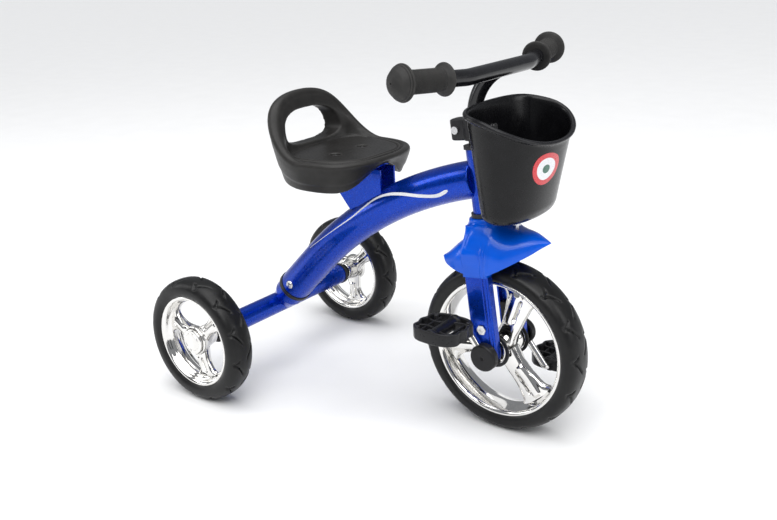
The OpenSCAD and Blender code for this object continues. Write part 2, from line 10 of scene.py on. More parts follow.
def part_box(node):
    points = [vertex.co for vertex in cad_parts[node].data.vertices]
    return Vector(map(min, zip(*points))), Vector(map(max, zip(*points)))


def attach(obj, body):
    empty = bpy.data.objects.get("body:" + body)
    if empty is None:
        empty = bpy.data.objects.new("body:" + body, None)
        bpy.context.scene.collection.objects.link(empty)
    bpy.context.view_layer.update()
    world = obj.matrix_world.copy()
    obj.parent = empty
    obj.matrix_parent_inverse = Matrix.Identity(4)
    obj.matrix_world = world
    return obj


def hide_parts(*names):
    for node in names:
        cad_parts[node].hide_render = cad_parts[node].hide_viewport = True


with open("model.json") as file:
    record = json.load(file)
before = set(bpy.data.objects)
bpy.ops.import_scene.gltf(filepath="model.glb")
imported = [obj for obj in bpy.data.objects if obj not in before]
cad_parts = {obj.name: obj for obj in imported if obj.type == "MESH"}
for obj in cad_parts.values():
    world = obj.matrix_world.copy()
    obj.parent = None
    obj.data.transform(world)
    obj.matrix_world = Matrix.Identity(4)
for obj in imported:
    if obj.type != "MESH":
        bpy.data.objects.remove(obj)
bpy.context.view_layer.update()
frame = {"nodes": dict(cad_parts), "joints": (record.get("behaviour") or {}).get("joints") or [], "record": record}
joints = {j["name"]: j for j in frame["joints"]}
MM = 0.001
TURN = 2 * math.pi
WELD = 0.02  # millimetres within which points are one


# ---- Places, worked out from the frame ----
# Shapes are drawn in millimetres in one of these spaces, which take them to the row's frame.

def space(origin, x_axis=(1, 0, 0), y_axis=(0, 1, 0), z_axis=(0, 0, 1)):
    matrix = Matrix((x_axis, y_axis, z_axis)).transposed().to_4x4()
    return Matrix.Translation(Vector(origin)) @ matrix @ Matrix.Scale(MM, 4)


def middle(node):
    low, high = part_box(node)
    return (low + high) / 2


rear_axle = middle("rear_axle")
front_axle = Vector(joints["front_wheel_spin"]["pos_m"])
steer_foot = Vector(joints["steering_turn"]["pos_m"])
steer_up = Vector(joints["steering_turn"]["axis"]).normalized()
steer_ahead = Vector((0, 1, 0)).cross(steer_up)

GROUND = space((rear_axle.x, 0, 0))  # x runs forward from the rear axle
STEERING = space(steer_foot, steer_ahead, (0, 1, 0), steer_up)
REAR_Z = rear_axle.z / MM


def hub_space(centre, side):
    """A space with X forward, Y up and Z outwards along the axle on that side (-1 right, 1 left)."""
    return space(centre, (1, 0, 0), (0, 0, 1), (0, side, 0))


SIDES = {"right": -1, "left": 1}
wheel_hub = {s: hub_space(middle(f"rear_tyre_{s}"), k) for s, k in SIDES.items()}
front_hub = {s: hub_space(front_axle, k) for s, k in SIDES.items()}
pedal_at = {}
for side_name, side_sign in SIDES.items():
    place = Vector(joints[f"pedal_{side_name}_spin"]["pos_m"])
    place.y = middle(f"pedal_{side_name}").y
    pedal_at[side_name] = space(place, (1, 0, 0), (0, side_sign, 0), (0, 0, 1))


# ---- Meshes ----

def circle(centre, radius, a, b, steps):
    """Points round a circle in the plane of a and b."""
    turns = [TURN * j / steps for j in range(steps)]
    return [centre + radius * (math.cos(t) * a + math.sin(t) * b) for t in turns]


def heading(path, i, closed=False):
    """The way that a path runs at its point i."""
    last = len(path) - 1
    before, after = (i - 1, (i + 1) % len(path)) if closed else (max(i - 1, 0), min(i + 1, last))
    return (path[after] - path[before]).normalized()


class Shape:
    """Points and faces in one space, before they become a Blender mesh."""

    def __init__(self):
        self.points = []
        self.faces = []

    def grid(self, rows, ring_rows=False, ring_columns=False):
        """A quilt of four-sided faces between rows of points."""
        start, wide = len(self.points), len(rows[0])
        for row in rows:
            self.points += [tuple(p) for p in row]
        for i in range(len(rows) if ring_rows else len(rows) - 1):
            for j in range(wide if ring_columns else wide - 1):
                k, m = (i + 1) % len(rows), (j + 1) % wide
                self.faces.append((start + i * wide + j, start + i * wide + m,
                                   start + k * wide + m, start + k * wide + j))
        return start

    def loft(self, rows):
        """A closed solid through rings of points, with a flat end at each end."""
        start, wide = self.grid(rows, ring_columns=True), len(rows[0])
        last = start + (len(rows) - 1) * wide
        self.faces.append(tuple(range(start + wide - 1, start - 1, -1)))
        self.faces.append(tuple(range(last, last + wide)))

    def lathe(self, profile, steps=96, closed=False, matrix=None):
        """A profile of (radius, height) turned about Z."""
        rows = []
        for i in range(steps):
            c, s = math.cos(TURN * i / steps), math.sin(TURN * i / steps)
            row = [Vector((r * c, r * s, h)) for r, h in profile]
            rows.append([matrix @ p for p in row] if matrix else row)
        self.grid(rows, ring_rows=True, ring_columns=closed)

    def tube(self, path, radii, steps, side=(0, 1, 0)):
        """A round bar along a path; radii is one radius or one for each point."""
        rows = []
        for i, p in enumerate(path):
            way = heading(path, i)
            a = way.cross(Vector(side)).normalized()
            r = radii if isinstance(radii, (int, float)) else radii[i]
            rows.append(circle(p, r, a, way.cross(a), steps))
        self.loft(rows)


def place_object(name, data):
    """A new object in the scene."""
    o = bpy.data.objects.new(name, data)
    bpy.context.scene.collection.objects.link(o)
    return o


def build(name, shape, where, body, slot, hides=(), sharp=38, film=None):
    """Turns a shape into a piece that rides on a body; edges steeper than sharp degrees stay hard.

    It is made of its slot's material, unless it is a printed film.
    """
    bm = bmesh.new()
    points = [bm.verts.new(where @ Vector(p)) for p in shape.points]
    for face in shape.faces:
        corners = [points[k] for k in face]
        if len(set(corners)) > 2:
            bm.faces.new(corners)
    bmesh.ops.remove_doubles(bm, verts=bm.verts, dist=WELD * MM)
    bmesh.ops.dissolve_degenerate(bm, edges=bm.edges, dist=1e-7)
    bmesh.ops.recalc_face_normals(bm, faces=bm.faces)
    for face in bm.faces:
        face.smooth = True
    for edge in bm.edges:
        if len(edge.link_faces) == 2 and edge.calc_face_angle(0) > math.radians(sharp):
            edge.smooth = False
    mesh = bpy.data.meshes.new(name)
    bm.to_mesh(mesh)
    bm.free()
    finish_piece(place_object(name, mesh), body, slot, hides, film)


def finish_piece(piece, body, slot, hides=(), film=None):
    """Gives a piece its slot's material or a film, puts it on its body and hides the CAD nodes that it stands for.
    """
    piece.data.materials.append(film or SLOT_MATERIALS[slot])
    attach(piece, body)
    if hides:
        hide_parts(*hides)


def rounded(points, radius, steps=4, closed=False):
    """A line of (x, y) points with its corners rounded."""
    out = []
    for i, p in enumerate(points):
        p = Vector(p)
        if not closed and i in (0, len(points) - 1):
            out.append(p)
            continue
        back, ahead = Vector(points[i - 1]) - p, Vector(points[(i + 1) % len(points)]) - p
        size = radius[i] if isinstance(radius, (list, tuple)) else radius
        cut = min(size, 0.49 * back.length, 0.49 * ahead.length)
        a, b = p + back.normalized() * cut, p + ahead.normalized() * cut
        for k in range(steps + 1):
            t = k / steps
            out.append((1 - t) ** 2 * a + 2 * t * (1 - t) * p + t * t * b)
    return out


def smooth_step(v, low=0.0, high=1.0):
    t = min(max((v - low) / (high - low), 0.0), 1.0)
    return t * t * (3 - 2 * t)


def bump(distance, width):
    return math.exp(-(distance / width) ** 2)


def bulge(v, power):
    return math.copysign(abs(v) ** power, v)


def through(points, x):
    """A smooth curve through (x, value) points, read at x."""
    if x <= points[0][0]:
        return points[0][1]
    for i in range(len(points) - 1):
        (x0, y0), (x1, y1) = points[i], points[i + 1]
        if x <= x1:
            before, after = points[max(i - 1, 0)], points[min(i + 2, len(points) - 1)]
            m0 = (y1 - before[1]) / (x1 - before[0]) * (x1 - x0)
            m1 = (after[1] - y0) / (after[0] - x0) * (x1 - x0)
            t = (x - x0) / (x1 - x0)
            return ((2 * t ** 3 - 3 * t ** 2 + 1) * y0 + (t ** 3 - 2 * t ** 2 + t) * m0
                    + (3 * t ** 2 - 2 * t ** 3) * y1 + (t ** 3 - t ** 2) * m1)
    return points[-1][1]


def spread(low, high, count):
    return [low + (high - low) * i / (count - 1) for i in range(count)]


# ---- Materials ----

def new_material(name, colour, roughness, **sockets):
    """A Principled material and its node tree, with constant values set on the shader."""
    m = bpy.data.materials.new(name)
    m.use_nodes = True
    shader = m.node_tree.nodes["Principled BSDF"]
    shader.inputs["Base Color"].default_value = (*colour, 1)
    shader.inputs["Roughness"].default_value = roughness
    for key, value in sockets.items():
        shader.inputs[key.replace("_", " ")].default_value = value
    return m, m.node_tree, shader


def add(tree, kind, links=(), **values):
    """A node with its inputs or settings given by name, and links into it as (input, source)."""
    node = tree.nodes.new(kind)
    for key, value in values.items():
        if key in node.inputs:
            node.inputs[key].default_value = value
        else:
            setattr(node, key, value)
    for socket, source in links:
        tree.links.new(source, node.inputs[socket])
    return node


def place_texture(tree, stretch=(1, 1, 1)):
    """Object coordinates in millimetres, stretched along each axis."""
    where = add(tree, "ShaderNodeTexCoord")
    return add(tree, "ShaderNodeMapping", [("Vector", where.outputs["Object"])],
               Scale=tuple(s / MM for s in stretch)).outputs["Vector"]


def ramp(tree, source, stops):
    """A colour ramp; a stop is (position, colour), where a plain number is a grey."""
    node = add(tree, "ShaderNodeValToRGB", [("Fac", source)])
    while len(node.color_ramp.elements) < len(stops):
        node.color_ramp.elements.new(0.5)
    for element, (at, colour) in zip(node.color_ramp.elements, stops):
        element.position = at
        element.color = (*(colour if isinstance(colour, tuple) else (colour,) * 3), 1)
    return node.outputs["Color"]


def vary(tree, shader, socket, source, *stops):
    """Drives one of the shader's sockets by a ramp over a texture."""
    tree.links.new(ramp(tree, source, stops), shader.inputs[socket])


def noise(tree, vector, scale, detail=3.0, roughness=0.5):
    return add(tree, "ShaderNodeTexNoise", [("Vector", vector)], Scale=scale, Detail=detail,
               Roughness=roughness).outputs["Fac"]


def cells(tree, vector, scale):
    return add(tree, "ShaderNodeTexVoronoi", [("Vector", vector)], Scale=scale)


def bumps(tree, shader, *heights):
    """Chains bump nodes: each height is (output, strength, distance in mm)."""
    below = []
    for source, strength, distance in heights:
        node = add(tree, "ShaderNodeBump", [("Height", source)] + below, Strength=strength,
                   Distance=distance * MM)
        below = [("Normal", node.outputs["Normal"])]
    tree.links.new(node.outputs["Normal"], shader.inputs["Normal"])


def blend_colours(tree, factor, first, second, mode="MIX"):
    node = add(tree, "ShaderNodeMix", data_type="RGBA", blend_type=mode)
    for index, value in ((0, factor), (6, first), (7, second)):
        if isinstance(value, (int, float)):
            node.inputs[index].default_value = value
        elif isinstance(value, tuple):
            node.inputs[index].default_value = (*value, 1)
        else:
            tree.links.new(value, node.inputs[index])
    return node.outputs[2]


def edges(tree):
    """Near 1 on a piece's outer edges, near 0 in its hollows and flats."""
    geometry = add(tree, "ShaderNodeNewGeometry")
    return ramp(tree, geometry.outputs["Pointiness"], [(0.5, 0), (0.56, 1)])


def frame_paint():
    """Deep blue metallic paint: fine flakes under a clear coat with a little orange peel."""
    m, tree, shader = new_material("frame_paint", (0.0, 0.042, 0.42), 0.3, Metallic=0.75,
                                   Specular_IOR_Level=0.2, Coat_Weight=0.3, Coat_Roughness=0.04)
    at = place_texture(tree)
    flakes = cells(tree, at, 2.6)
    tint = ramp(tree, flakes.outputs["Color"],
                [(0.25, (0.0, 0.028, 0.34)), (0.55, (0.0, 0.042, 0.44)), (0.95, (0.002, 0.085, 0.64))])
    cloud = ramp(tree, noise(tree, at, 0.02), [(0.3, (0.80, 0.84, 0.90)), (0.7, 1.0)])
    tree.links.new(blend_colours(tree, 1.0, tint, cloud, "MULTIPLY"), shader.inputs["Base Color"])
    vary(tree, shader, "Roughness", noise(tree, at, 0.15), (0.3, 0.24), (0.75, 0.36))
    bumps(tree, shader, (noise(tree, at, 0.30, 2.0), 0.05, 0.10), (flakes.outputs["Distance"], 0.03, 0.05))
    return m


def gloss_plastic():
    """Bright blue moulded plastic with soft flow marks."""
    m, tree, shader = new_material("fender_plastic", (0.0, 0.075, 0.72), 0.2, Coat_Weight=0.08,
                                   Coat_Roughness=0.06, Specular_IOR_Level=0.3)
    at = place_texture(tree)
    swirl = noise(tree, place_texture(tree, (0.3, 1, 0.6)), 0.03, 5.0, 0.6)
    vary(tree, shader, "Base Color", swirl, (0.3, (0.0, 0.072, 0.52)), (0.7, (0.0, 0.098, 0.66)))
    vary(tree, shader, "Roughness", noise(tree, at, 0.12), (0.3, 0.14), (0.75, 0.26))
    bumps(tree, shader, (noise(tree, at, 0.12, 2.0), 0.12, 0.25), (noise(tree, at, 1.2), 0.04, 0.05))
    return m


def finish(name, colour, roughness, base, rough, relief, worn=None, stretch=(1, 1, 1), **sockets):
    """A material whose colour and roughness each follow a noise, given as (noise settings, stop, stop).

    relief lists bumps as (texture, strength, distance in mm), where a texture is a noise's settings
    or ("cells", scale); worn is the colour of rubbed edges.
    """
    m, tree, shader = new_material(name, colour, roughness, **sockets)
    at = place_texture(tree, stretch)
    tint = ramp(tree, noise(tree, at, *base[0]), base[1:])
    if worn:
        tint = blend_colours(tree, edges(tree), tint, worn)
    tree.links.new(tint, shader.inputs["Base Color"])
    vary(tree, shader, "Roughness", noise(tree, at, *rough[0]), *rough[1:])
    heights = []
    for texture, strength, distance in relief:
        if texture[0] == "cells":
            source = cells(tree, at, texture[1]).outputs["Distance"]
        else:
            source = noise(tree, at, *texture)
        heights.append((source, strength, distance))
    bumps(tree, shader, *heights)
    return m


def moulded_plastic(name, dark, light, roughness, grain, relief=0.07):
    """Satin plastic: fine grain, mould flow and lighter worn edges."""
    return finish(name, dark, roughness, ((0.05, 6.0, 0.6), (0.3, dark), (0.75, light)),
                  ((0.3, 4.0), (0.3, roughness - 0.07), (0.8, roughness + 0.09)),
                  [(("cells", grain), relief, 0.10), ((0.06,), 0.06, 0.6)],
                  worn=tuple(v * 1.8 + 0.004 for v in light), Specular_IOR_Level=0.22)


def chrome():
    """Bright plating with faint smudges and hairline polishing marks."""
    m, tree, shader = new_material("chrome_trim", (0.78, 0.77, 0.75), 0.08, Metallic=1.0)
    at = place_texture(tree)
    vary(tree, shader, "Base Color", noise(tree, at, 0.05, 5.0, 0.6),
         (0.35, (0.72, 0.71, 0.69)), (0.7, (0.82, 0.81, 0.79)))
    vary(tree, shader, "Roughness", noise(tree, at, 0.09, 6.0, 0.7), (0.35, 0.05), (0.8, 0.16))
    marks = noise(tree, place_texture(tree, (0.2, 1, 4)), 1.5, 2.0)
    bumps(tree, shader, (noise(tree, at, 0.05, 2.0), 0.05, 0.5), (marks, 0.02, 0.05))
    return m


def decal(name, colour):
    """Printed film: nearly flat, with a slight mottle."""
    darker = tuple(v * 0.9 for v in colour)
    return finish(name, colour, 0.3, ((0.4, 4.0), (0.35, darker), (0.65, colour)),
                  ((0.6,), (0.3, 0.24), (0.8, 0.4)), [((0.7,), 0.05, 0.05)], Coat_Weight=0.3)


CHROME = chrome()
SLOT_MATERIALS = {
    "frame_paint": frame_paint(),
    "fender_plastic": gloss_plastic(),
    "black_plastic": moulded_plastic("black_plastic", (0.005, 0.005, 0.006), (0.011, 0.011, 0.012),
                                     0.38, 2.0),
    "seat_plastic": moulded_plastic("seat_plastic", (0.012, 0.0115, 0.011), (0.022, 0.021, 0.020), 0.38, 1.6),
    "basket_plastic": moulded_plastic("basket_plastic", (0.0025, 0.0025, 0.003), (0.006, 0.006, 0.007),
                                      0.24, 0.8, 0.02),
    "pedal_plastic": moulded_plastic("pedal_plastic", (0.004, 0.004, 0.005), (0.010, 0.010, 0.011),
                                     0.32, 2.0),
    # black moulded foam: a tight skin with fine pores and a dusty bloom
    "tyre_foam": finish("tyre_foam", (0.005, 0.005, 0.006), 0.4,
                        ((0.035, 6.0, 0.65), (0.35, (0.004, 0.004, 0.0045)), (0.75, 0.010)),
                        ((0.10, 4.0), (0.3, 0.28), (0.75, 0.46)),
                        [(("cells", 1.4), 0.12, 0.15), ((0.05, 3.0), 0.15, 0.8)],
                        worn=(0.020, 0.020, 0.020), Specular_IOR_Level=0.24),
    "grip_rubber": finish("grip_rubber", (0.016, 0.015, 0.015), 0.55,
                          ((0.08, 5.0), (0.3, 0.010), (0.75, (0.024, 0.023, 0.022))),
                          ((0.5,), (0.3, 0.5), (0.8, 0.7)), [(("cells", 2.2), 0.15, 0.1)],
                          worn=(0.045, 0.043, 0.041), Specular_IOR_Level=0.3),
    "chrome_trim": CHROME,
    "chrome_plastic": CHROME,
    "zinc_steel": finish("zinc_steel", (0.6, 0.6, 0.62), 0.3,
                         ((0.4, 4.0), (0.3, (0.48, 0.48, 0.50)), (0.7, 0.72)),
                         ((0.8, 4.0), (0.3, 0.18), (0.8, 0.42)), [((2.0,), 0.08, 0.06)],
                         stretch=(1, 1, 6), Metallic=1.0),
    "black_paint": finish("black_paint", (0.005, 0.005, 0.006), 0.2,
                          ((0.06, 5.0), (0.3, (0.004, 0.004, 0.005)), (0.75, (0.009, 0.009, 0.011))),
                          ((0.2,), (0.3, 0.18), (0.8, 0.30)), [((0.5, 2.0), 0.10, 0.10)],
                          Specular_IOR_Level=0.4, Coat_Weight=0.2, Coat_Roughness=0.08),
}
WHITE = decal("white_film", (0.78, 0.79, 0.82))
RED = decal("red_film", (0.60, 0.02, 0.03))
GREEN = decal("green_film", (0.02, 0.12, 0.08))


# ---- Wheels ----

FRONT_TYRE = {"radius": 127, "width": 54, "seat": 101, "motifs": 15}
REAR_TYRE = {"radius": 100, "width": 46, "seat": 72, "motifs": 12}
TREAD_STEP = 1.7  # millimetres between points round the tread
# each stroke's start and bend as shares of a motif, its reach across the tread, and its depth
TREAD_STROKES = ((0.20, 0.42, 0.04, 0.88, 3.2), (1.0, -0.34, 0.34, 0.92, 2.6))
CAP_FOOT = 48.6  # the crank caps' inner edge, from the middle plane


def mirrored(half):
    """A profile from its upper half and that half's mirror image."""
    return [(r, -h) for r, h in reversed(half)] + half


def groove_depth(turn, across, radius, motifs):
    """How deep the tread is cut: a long curved stroke and a short one in each motif."""
    period = TURN / motifs
    part = (turn / period + (0.5 if across < 0 else 0.0)) % 1.0
    out = abs(across)
    depth = 0.0
    for start, bend, low, high, deep in TREAD_STROKES:
        line = start + bend * math.sin(1.9 * out)
        away = (part - line + 0.5) % 1.0 - 0.5
        inside = smooth_step(out, low, low + 0.08) * (1 - smooth_step(out, high - 0.08, high))
        depth = max(depth, deep * inside * bump(away * period * radius, 1.9))
    return depth


def tyre(name, body, where, node, radius, width, seat, motifs):
    """A foam tyre: a crowned tread, flat sides and a bore that sits on the rim at radius seat."""
    deep, half = (radius - seat) * 0.66, width / 2
    sides = [(radius - deep - 1.5, 0.3), (seat + 5, 1.2), (seat + 1, 4.5), (seat, 6)]
    around = int(TURN * radius / TREAD_STEP)
    rows = []
    for i in range(around):
        turn = TURN * i / around
        profile = []
        for a in spread(-90, 90, 72):
            side, top = math.sin(math.radians(a)), math.cos(math.radians(a))
            lift = deep * max(top, 0.0) ** 0.7
            cut = groove_depth(turn, side, radius, motifs) * smooth_step(lift / deep, 0.05, 0.4)
            profile.append((radius - deep + lift - cut * top, half * bulge(side, 0.85) - cut * side * 0.8))
        profile += [(r, half - inset) for r, inset in sides]
        profile += [(r, inset - half) for r, inset in reversed(sides)]
        rows.append([Vector((r * math.cos(turn), r * math.sin(turn), h)) for r, h in profile])
    shape = Shape()
    shape.grid(rows, ring_rows=True, ring_columns=True)
    build(name, shape, where, body, "tyre_foam", [node], sharp=60)


def rim_profile(edge, lip):
    """The rim's section: from the middle of its seat out round the lip and back, then its mirror image."""
    half = rounded([(edge + 0.6, 0), (edge + 0.6, lip - 3.5), (edge + 2.6, lip - 1), (edge + 2.2, lip + 1.6),
                    (edge - 1.2, lip + 2.0), (edge - 4.2, lip - 1), (edge - 6.5, lip - 7), (edge - 9.5, 7),
                    (edge - 10.8, 2.5), (edge - 11.2, 0)], 2.2, 3)
    return half + [Vector((p.x, -p.y)) for p in reversed(half)][1:-1]


def spokes(shape, first, reach, widths, face, back, slit, rib):
    """Three wide spokes, the first one turned up from ahead: a slit beside a raised rib on each face.

    widths holds a spoke's half-widths clockwise and anticlockwise of its middle line; slit and rib
    hold where they begin, where they end, how far aside they lie, their width and their depth.
    """
    across = [-1, -0.985, -0.94, -0.86] + spread(-0.75, 0.75, 41) + [0.86, 0.94, 0.985, 1]
    for k in range(3):
        turn = TURN * k / 3 + math.radians(first)
        ahead = Vector((math.cos(turn), math.sin(turn), 0))
        aside = Vector((-math.sin(turn), math.cos(turn), 0))
        rows = []
        for r in spread(*reach, 64):
            windows = [smooth_step(r, start, start + 6) * (1 - smooth_step(r, end - 6, end))
                       for start, end, *_ in (slit, rib)]
            top, low = [], []
            for u in across:
                t = u * through(widths[0 if u < 0 else 1], r)
                roundness = max(1 - abs(u) ** 7, 0.0) ** 0.5
                dip = sum(window * deep * math.exp(-(abs(t - at) / wide) ** 4)
                          for window, (_, _, at, wide, deep) in zip(windows, (slit, rib)))
                crown = -1.8 * abs(u) ** 2.2
                for line, height, sign in ((top, through(face, r), 1), (low, through(back, r), -1)):
                    h = (height + (crown - dip) * sign) * (roundness if height * sign > 0 else 1)
                    line.append(ahead * r + aside * t + Vector((0, 0, h)))
            rows.append(top + low[::-1][1:-1])
        shape.loft(rows)


def front_rim():
    edge, lip = FRONT_TYRE["seat"], 22
    shape = Shape()
    shape.lathe(rim_profile(edge, lip), 144, closed=True)
    hub = rounded(mirrored([(16.5, 12), (19.5, 20), (19.5, 28.6), (5.2, 28.6)]), 2, 3)
    shape.lathe(hub, 72)
    widths = ([(12, 18), (22, 17), (35, 18), (60, 20), (83, 26), (91, 40)],
              [(12, 18), (24, 15), (36, 13), (60, 17), (81, 24), (91, 42)])
    face = [(12, 13), (30, 11), (60, 8), (91, 8)]
    spokes(shape, 70, (12, edge - 10.2), widths, face, [(r, -h) for r, h in face],
           slit=(42, 82, -5, 2.0, 6), rib=(36, 90, 5, 6.5, -2.4))
    build("front_rim_chrome", shape, front_hub["right"], "front_wheel", "chrome_plastic",
          ["front_rim"], sharp=35)


def rear_rim(side):
    """A rear wheel's rim with its hub and spokes, and the cap that closes the hub outside."""
    edge, lip = REAR_TYRE["seat"], 17.5
    body = f"rear_wheel_{side}"
    shape = Shape()
    shape.lathe(rim_profile(edge, lip), 120, closed=True)
    hub = rounded([(8.2, -21.8), (15, -21.8), (17, -12), (19, -4), (23.5, 6), (24.5, 13), (22.6, 15.5),
                   (21.2, 15.2), (21.2, 12), (14, 12)], 1.6, 3)
    shape.lathe(hub, 72)
    widths = ([(14, 16), (26, 12), (40, 11), (54, 16), (62, 28)],
              [(14, 16), (26, 13), (40, 12), (54, 18), (62, 32)])
    spokes(shape, 40, (14, edge - 10.4), widths, [(14, 13), (26, 12.6), (44, 9.5), (62, 7)],
           [(14, -4), (30, -4), (62, -5)], slit=(27, 57, 4.5, 1.8, 4), rib=(25, 60, -2.5, 4.5, -2.2))
    build(f"rear_rim_{side}_chrome", shape, wheel_hub[side], body, "chrome_plastic",
          [f"rear_rim_{side}"], sharp=35)
    cap = Shape()
    cap.lathe(rounded([(0, 14), (20.4, 14), (20.4, 18.4), (19.2, 19.4), (15.2, 20.0), (14.9, 19.4),
                       (14.1, 19.4), (13.8, 20.1), (0, 20.6)], 0.7, 3), 96)
    build(f"hub_cap_{side}_chrome", cap, wheel_hub[side], body, "chrome_plastic", [f"hub_cap_{side}"])


def wheels():
    """The tyres and rims, and the ring and crank cap on each side of the front hub."""
    tyre("front_tyre_foam", "front_wheel", front_hub["left"], "front_tyre", **FRONT_TYRE)
    front_rim()
    for side in SIDES:
        node, body = f"rear_tyre_{side}", f"rear_wheel_{side}"
        tyre(f"{node}_foam", body, wheel_hub[side], node, **REAR_TYRE)
        rear_rim(side)
        ring = Shape()
        section = [(20, 26.6), (24.9, 26.6), (24.9, 29.4), (20, 29.4)]
        ring.lathe(rounded(section, 0.8, 3, closed=True), 80, closed=True)
        build(f"hub_ring_{side}_black", ring, front_hub[side], "front_wheel", "black_plastic",
              [f"hub_ring_{side}"])
        cap = Shape()
        cap.lathe(rounded([(17, CAP_FOOT), (20, CAP_FOOT), (20, 58), (19.4, 60), (17.4, 61.4), (3.2, 61.4),
                           (2.2, 60.4), (2.0, 59.6), (0, 59.6)], 1.0, 3), 96)
        cap.lathe(rounded([(17, CAP_FOOT), (17, 58.8), (0, 58.8)], 0.5, 2), 64)
        build(f"crank_cap_{side}_black", cap, front_hub[side], "front_wheel", "black_plastic",
              [f"crank_cap_{side}"])


# ---- Crank and pedals ----

CRANK_R, CRANK_BEND = 5, 6
CRANK_ARM_Y = 54  # the arms, from the middle plane
PEDAL_PIN = 29  # how far the rod runs past a pedal's middle


def crank():
    """One bent rod from pedal to pedal through the front hub."""
    end_y = middle("pedal_left").y / MM + PEDAL_PIN
    corners = []
    for side, sign in SIDES.items():
        foot = (Vector(joints[f"pedal_{side}_spin"]["pos_m"]) - front_axle) / MM
        line = [Vector((foot.x, sign * end_y, foot.z)), Vector((foot.x, sign * CRANK_ARM_Y, foot.z)),
                Vector((0, sign * CRANK_ARM_Y, 0))]
        corners += line if side == "right" else line[::-1]
    path = rounded(corners, CRANK_BEND, 8)
    rows, aside = [], heading(path, 0).orthogonal().normalized()
    for i, p in enumerate(path):
        way = heading(path, i)
        aside = (aside - way * aside.dot(way)).normalized()
        rows.append(circle(p, CRANK_R, aside, way.cross(aside), 32))
    shape = Shape()
    shape.loft(rows)
    build("crank_rod", shape, space(front_axle), "front_wheel", "chrome_trim", ["crank"])


def wall_along(shape, path, thick, high, closed=False):
    """An upright wall with rounded edges along a path in the XY plane."""
    x, z = thick / 2, high / 2
    section = rounded([(-x, -z), (x, -z), (x, z), (-x, z)], thick * 0.42, 3, closed=True)
    rows = []
    for i, p in enumerate(path):
        way = heading(path, i, closed)
        aside = Vector((-way.y, way.x, 0))
        rows.append([p + aside * s.x + Vector((0, 0, s.y)) for s in section])
    if closed:
        shape.grid(rows, ring_rows=True, ring_columns=True)
    else:
        shape.loft(rows)


def pedal(side):
    """A moulded pedal: an outer wall, ribs inside it, a sleeve round the crank's pin and four studs."""
    long, wide, high, wall = 78, 70, 18, 4.2
    shape = Shape()
    outline = []
    for i in range(144):
        a = TURN * i / 144
        x = (long - wall) / 2 * bulge(math.cos(a), 0.66)
        y = (wide - wall) / 2 * bulge(math.sin(a), 0.66)
        wave = 1.5 * math.cos(TURN * y / 21) * smooth_step(abs(x), 20, 34)
        pinch = max(0.0, 1.5 - wave) * smooth_step(abs(x), 25, 36)
        outline.append(Vector((x - math.copysign(pinch, x), y, 0)))
    wall_along(shape, outline, wall, high, closed=True)
    for way in (-1, 1):
        wave = [Vector((x, way * (15 + 6 * math.sin(TURN * x / (long - 2))), -1))
                for x in spread(-33, 33, 40)]
        wall_along(shape, wave, 3, high - 4)
        wall_along(shape, [Vector((way * 22, y, -1)) for y in spread(-28, 28, 12)], 2.6, high - 7)
    along_y = Matrix.Rotation(-math.pi / 2, 4, "X")
    shape.lathe(rounded(mirrored([(9, 24), (11, 27), (11, 33), (5.2, 33)]), 1.2, 3), 56, matrix=along_y)
    shape.lathe(rounded([(0, 31.5), (7, 31.5), (7, 33.6), (5, 34.4), (0, 34.6)], 0.7, 3), 48, matrix=along_y)
    for x in (-27, 27):
        for y in (-23, 23):
            stud = [(0, -8), (3.4, -8), (3.4, 7.4), (2.4, 8.2), (0, 8.2)]
            shape.lathe(stud, 20, matrix=Matrix.Translation((x, y, 0)))
    build(f"pedal_{side}_moulded", shape, pedal_at[side], f"pedal_{side}_body", "pedal_plastic",
          [f"pedal_{side}"])


# ---- Frame ----

TUBE_R = 27.5
STRAIGHT = 135
ARCH_R = 660
REAR_SLOPE = math.radians(45)
HEAD_SLOPE = math.radians(13.7)


def tube_place(t):
    """The main tube's middle line: t is the length from the rear axle. Gives place and direction."""
    start = Vector((math.cos(REAR_SLOPE), 0, math.sin(REAR_SLOPE)))
    axle = Vector((0, 0, REAR_Z))
    if t <= STRAIGHT:
        return axle + start * t, start
    slope = REAR_SLOPE - (t - STRAIGHT) / ARCH_R
    centre = axle + start * STRAIGHT + ARCH_R * Vector((math.sin(REAR_SLOPE), 0, -math.cos(REAR_SLOPE)))
    place = centre + ARCH_R * Vector((-math.sin(slope), 0, math.cos(slope)))
    return place, Vector((math.cos(slope), 0, math.sin(slope)))


TUBE_END = STRAIGHT + ARCH_R * (REAR_SLOPE - HEAD_SLOPE)


def main_tube():
    lip = 3  # the rounding of the tube's front end
    stations = [(50.5, 24), (50.6, 26.6), (51.6, TUBE_R)]
    stations += [(t, TUBE_R) for t in spread(56, TUBE_END - lip, 90)]
    stations += [(TUBE_END - lip + lip * math.sin(a), TUBE_R - lip + lip * math.cos(a))
                 for a in spread(0.2, 1.5, 5)]
    rows = []
    for t, r in stations:
        p, way = tube_place(t)
        rows.append(circle(p, r, Vector((-way.z, 0, way.x)), Vector((0, 1, 0)), 72))
    shape = Shape()
    shape.loft(rows)
    build("main_tube_painted", shape, GROUND, "frame", "frame_paint", ["main_tube"])


